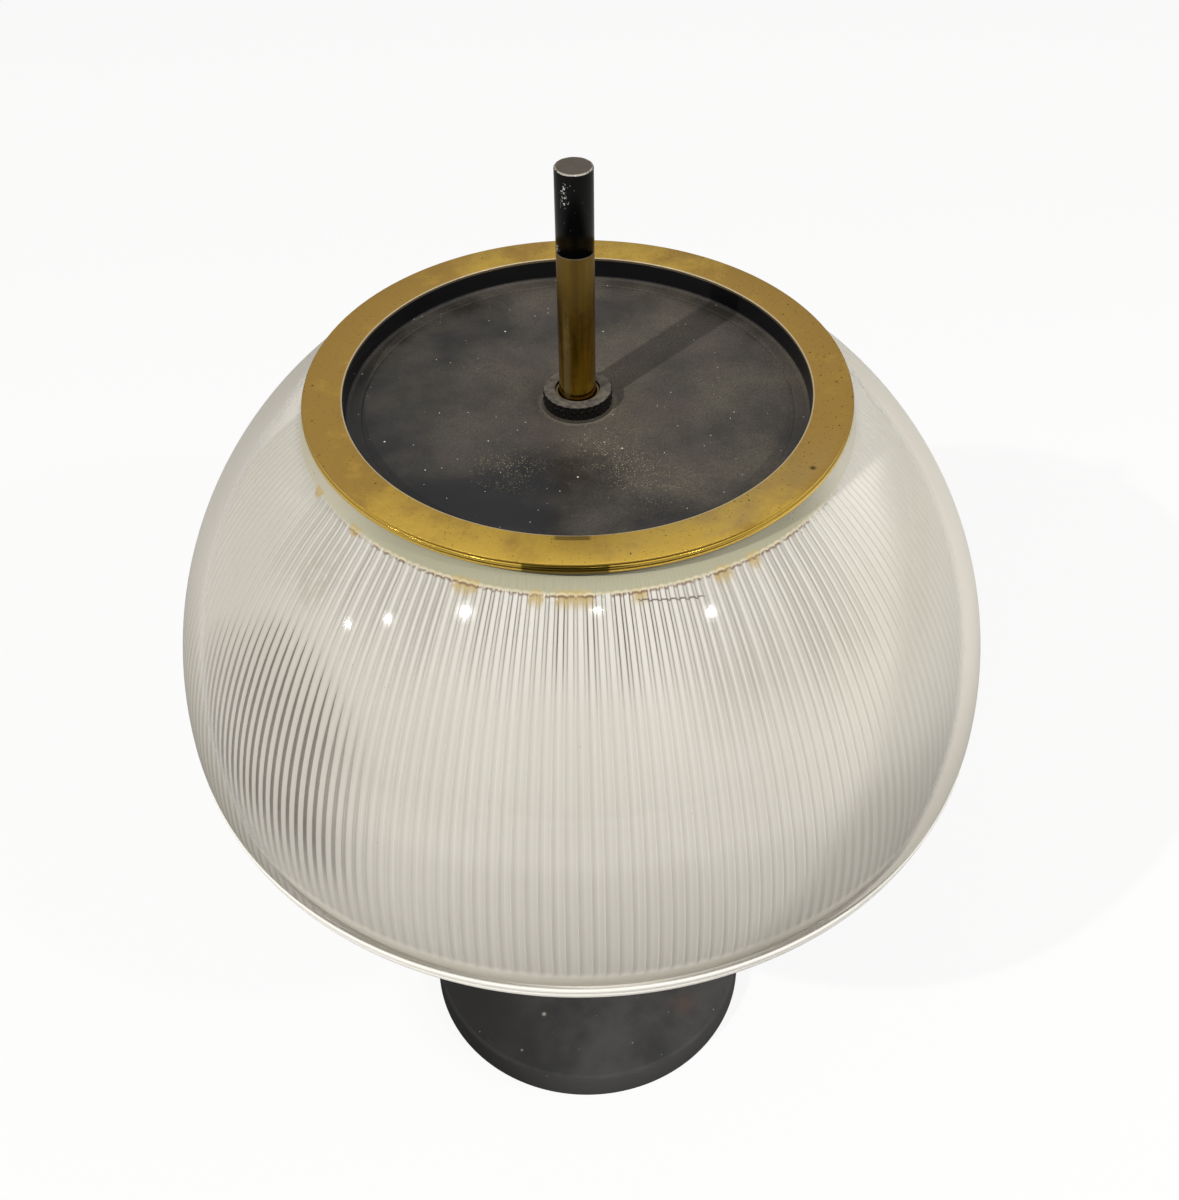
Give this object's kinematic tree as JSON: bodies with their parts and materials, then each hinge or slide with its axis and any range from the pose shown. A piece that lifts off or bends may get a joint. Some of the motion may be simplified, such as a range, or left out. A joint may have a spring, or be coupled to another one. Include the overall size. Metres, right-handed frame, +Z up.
{
  "type": "table lamp",
  "caption": "Table lamp with a ribbed glass dome on a slim stem, a dished cover with a brass ring held by a knurled nut, and a rod handle on top.",
  "frame": {"origin": "centre of the underside, on the table", "axes": "+Z up along the stem, +Y to the back where the mains lead enters the base, +X to the right"},
  "size_m": [0.32, 0.32, 0.4465],
  "materials": {
    "felt": "dark green felt",
    "base_paint": "matt charcoal, dusty",
    "weight_iron": "raw casting",
    "bush_rubber": "black",
    "zinc": "dull zinc",
    "stem_brass": "tarnished",
    "cup_paint": "satin black",
    "holder_brass": "plain",
    "lead_sleeve": "ivory",
    "bakelite": "black phenolic",
    "bulb_cap": "nickelled",
    "bulb_glass": "opal white",
    "carrier_paint": "satin black",
    "soft_ring": "dark grey",
    "bush_brass": "dull",
    "ribbed_glass": "milky, ribbed inside, glossy outside",
    "dish_paint": "black lacquer under dust",
    "ring_brass": "satin, spotted with tarnish",
    "washer_steel": "dull",
    "nut_black": "blackened, worn at the top",
    "rod_brass": "olive tarnish",
    "grip_lacquer": "black satin lacquer, chipped"
  },
  "bodies": {
    "stand": {"felt_pad": "felt", "base_cover": "base_paint", "base_weight": "weight_iron", "cord_bush": "bush_rubber", "base_washer": "zinc", "base_nut": "zinc", "threaded_tube": "zinc", "stem_tube": "stem_brass", "wiring_cup": "cup_paint", "cup_nuts": "zinc", "lamp_plate": "cup_paint", "holder_nipples": "holder_brass", "holder_locknuts": "zinc", "holder_leads": "lead_sleeve", "lead_bundle": "lead_sleeve", "spacer_tube": "stem_brass", "holder_cap_1": "bakelite", "holder_body_1": "bakelite", "holder_shell_1": "holder_brass", "holder_contact_1": "holder_brass", "holder_cap_2": "bakelite", "holder_body_2": "bakelite", "holder_shell_2": "holder_brass", "holder_contact_2": "holder_brass", "holder_cap_3": "bakelite", "holder_body_3": "bakelite", "holder_shell_3": "holder_brass", "holder_contact_3": "holder_brass", "shade_carrier": "carrier_paint", "shade_seat": "soft_ring", "clamp_bush": "bush_brass", "handle_rod": "rod_brass", "grip_stud": "zinc", "handle_grip": "grip_lacquer"},
    "shade": {"glass_shade": "ribbed_glass"},
    "cover": {"rim_gasket": "soft_ring", "cover_dish": "dish_paint", "brass_ring": "ring_brass"},
    "washer": {"nut_washer": "washer_steel"},
    "nut": {"knurled_nut": "nut_black"},
    "bulb_1": {"bulb_cap_1": "bulb_cap", "bulb_glass_1": "bulb_glass"},
    "bulb_2": {"bulb_cap_2": "bulb_cap", "bulb_glass_2": "bulb_glass"},
    "bulb_3": {"bulb_cap_3": "bulb_cap", "bulb_glass_3": "bulb_glass"}
  },
  "joints": [
    {"name": "shade_lift", "type": "slide", "parent": "stand", "child": "shade", "axis": [0, 0, 1], "range_m": [0, 0.25]},
    {"name": "cover_lift", "type": "slide", "parent": "shade", "child": "cover", "axis": [0, 0, 1], "range_m": [0, 0.11]},
    {"name": "nut_travel", "type": "slide", "parent": "cover", "child": "washer", "axis": [0, 0, 1], "range_m": [0, 0.0051]},
    {"name": "nut_turn", "type": "hinge", "parent": "washer", "child": "nut", "pos_m": [0, 0, 0.357], "axis": [0, 0, 1], "range_deg": [0, 1800]},
    {"name": "bulb_1_out", "type": "slide", "parent": "stand", "child": "bulb_1", "axis": [0, 0, 1], "range_m": [0, 0.022]},
    {"name": "bulb_2_out", "type": "slide", "parent": "stand", "child": "bulb_2", "axis": [0, 0, 1], "range_m": [0, 0.022]},
    {"name": "bulb_3_out", "type": "slide", "parent": "stand", "child": "bulb_3", "axis": [0, 0, 1], "range_m": [0, 0.022]}
  ],
  "couplings": [
    {"joint": "nut_travel", "follows": "nut_turn", "m_per_rad": 0.00015915}
  ]
}
